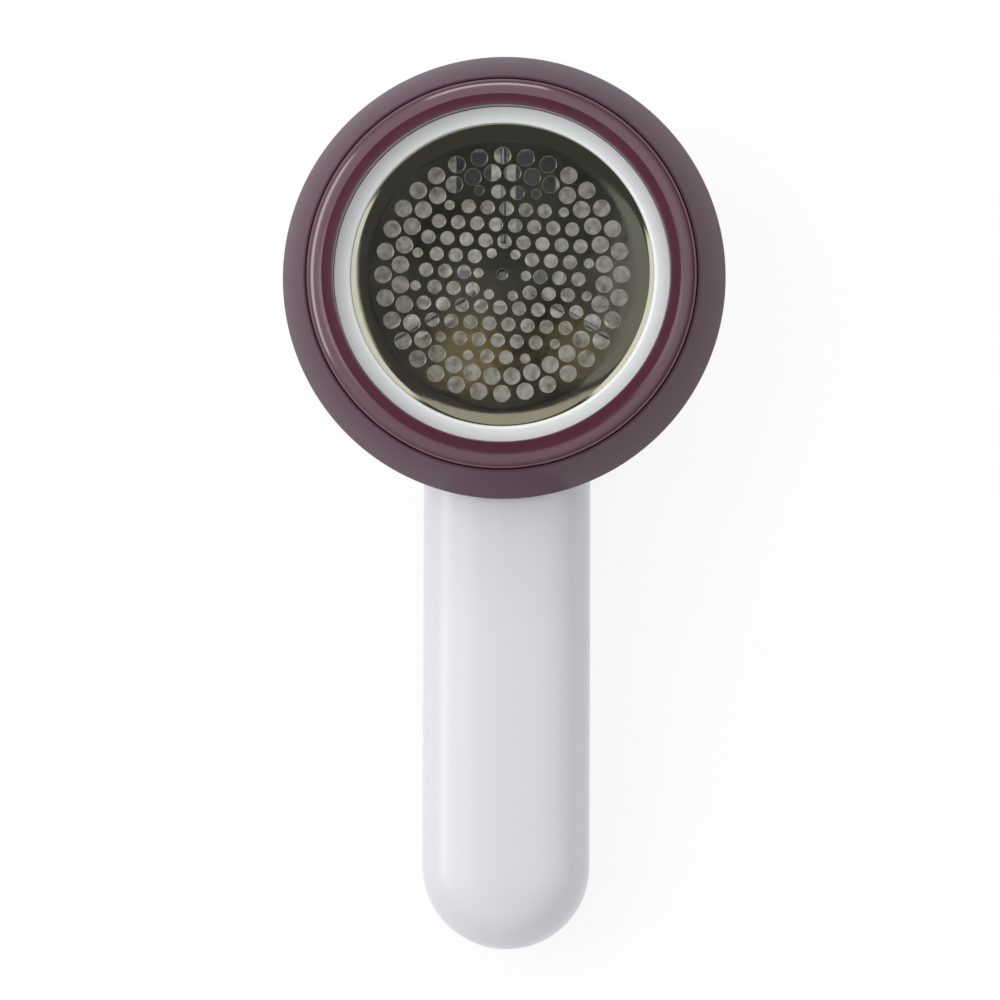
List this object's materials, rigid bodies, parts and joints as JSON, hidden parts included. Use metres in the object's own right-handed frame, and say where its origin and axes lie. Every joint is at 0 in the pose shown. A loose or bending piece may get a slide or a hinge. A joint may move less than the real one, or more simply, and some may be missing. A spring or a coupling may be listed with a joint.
{
  "type": "electric fabric shaver",
  "caption": "Battery fabric shaver: white stick handle, round head with burgundy bell and height ring, perforated steel foil over rotary blades, sliding lint drawer",
  "frame": {"origin": "on the head's axis, on the flat back of the head", "axes": "+Z points out of the foil, +Y points away from the handle along it, +X points to the right when the foil faces the viewer and the handle points down"},
  "size_m": [0.0892, 0.1785, 0.0395],
  "materials": {
    "white_shell": "glossy injection-moulded ABS",
    "burgundy": "glossy smoky burgundy, slightly see-through",
    "foil_steel": "bright rolled stainless steel",
    "blade_steel": "ground steel",
    "spring_steel": "drawn spring wire",
    "screw_steel": "zinc-plated",
    "brass": "stamped sheet",
    "dark_plastic": "moulded nylon",
    "cell": "printed shrink sleeve, plain",
    "red_wire": "PVC insulation",
    "black_wire": "PVC insulation"
  },
  "bodies": {
    "housing": {"battery_1": "cell", "battery_2": "cell", "battery_spring_1": "spring_steel", "battery_spring_2": "spring_steel", "case_screw_1": "screw_steel", "case_screw_2": "screw_steel", "case_screw_3": "screw_steel", "contact_bridge": "brass", "contact_negative": "brass", "contact_positive": "brass", "cup_screw_1": "screw_steel", "cup_screw_2": "screw_steel", "cup_screw_3": "screw_steel", "cup_screw_4": "screw_steel", "cutter_cup": "white_shell", "front_shell": "white_shell", "head_bell": "burgundy", "motor_can": "foil_steel", "motor_end_cap": "dark_plastic", "motor_screw_1": "screw_steel", "motor_screw_2": "screw_steel", "motor_terminal_1": "brass", "motor_terminal_2": "brass", "rear_shell": "white_shell", "switch_body": "blade_steel", "wire_battery": "red_wire", "wire_motor_minus": "black_wire", "wire_motor_plus": "red_wire"},
    "guard": {"guard_ring": "burgundy"},
    "foil_unit": {"foil_ring": "white_shell", "shaver_foil": "foil_steel"},
    "spindle": {"motor_shaft": "blade_steel", "drive_sleeve": "brass", "carrier_spring": "spring_steel"},
    "carrier": {"blade_carrier": "white_shell", "cutter_blade_1": "blade_steel", "cutter_blade_2": "blade_steel", "cutter_blade_3": "blade_steel"},
    "bin": {"lint_bin": "burgundy"},
    "door": {"battery_door": "white_shell"},
    "switch": {"switch_knob": "burgundy", "switch_lever": "dark_plastic"}
  },
  "joints": [
    {"name": "guard_lift", "type": "slide", "parent": "housing", "child": "guard", "axis": [0, 0, 1], "range_m": [-0.004, 0]},
    {"name": "foil_ring_twist", "type": "hinge", "parent": "housing", "child": "foil_unit", "pos_m": [0, 0, 0.0339], "axis": [0, 0, 1], "range_deg": [0, 25]},
    {"name": "spindle_spin", "type": "hinge", "parent": "housing", "child": "spindle", "pos_m": [0, 0, 0.0242], "axis": [0, 0, 1], "continuous": true},
    {"name": "carrier_float", "type": "slide", "parent": "spindle", "child": "carrier", "axis": [0, 0, 1], "range_m": [-0.0012, 0], "stiffness_N_per_m": 200, "springref_m": 0.003, "deforming": ["carrier_spring"]},
    {"name": "lint_bin_slide", "type": "slide", "parent": "housing", "child": "bin", "axis": [0, 1, 0], "range_m": [0, 0.03]},
    {"name": "battery_door_slide", "type": "slide", "parent": "housing", "child": "door", "axis": [0, -1, 0], "range_m": [0, 0.07]},
    {"name": "switch_slide", "type": "slide", "parent": "housing", "child": "switch", "axis": [0, 1, 0], "range_m": [0, 0.004]}
  ]
}
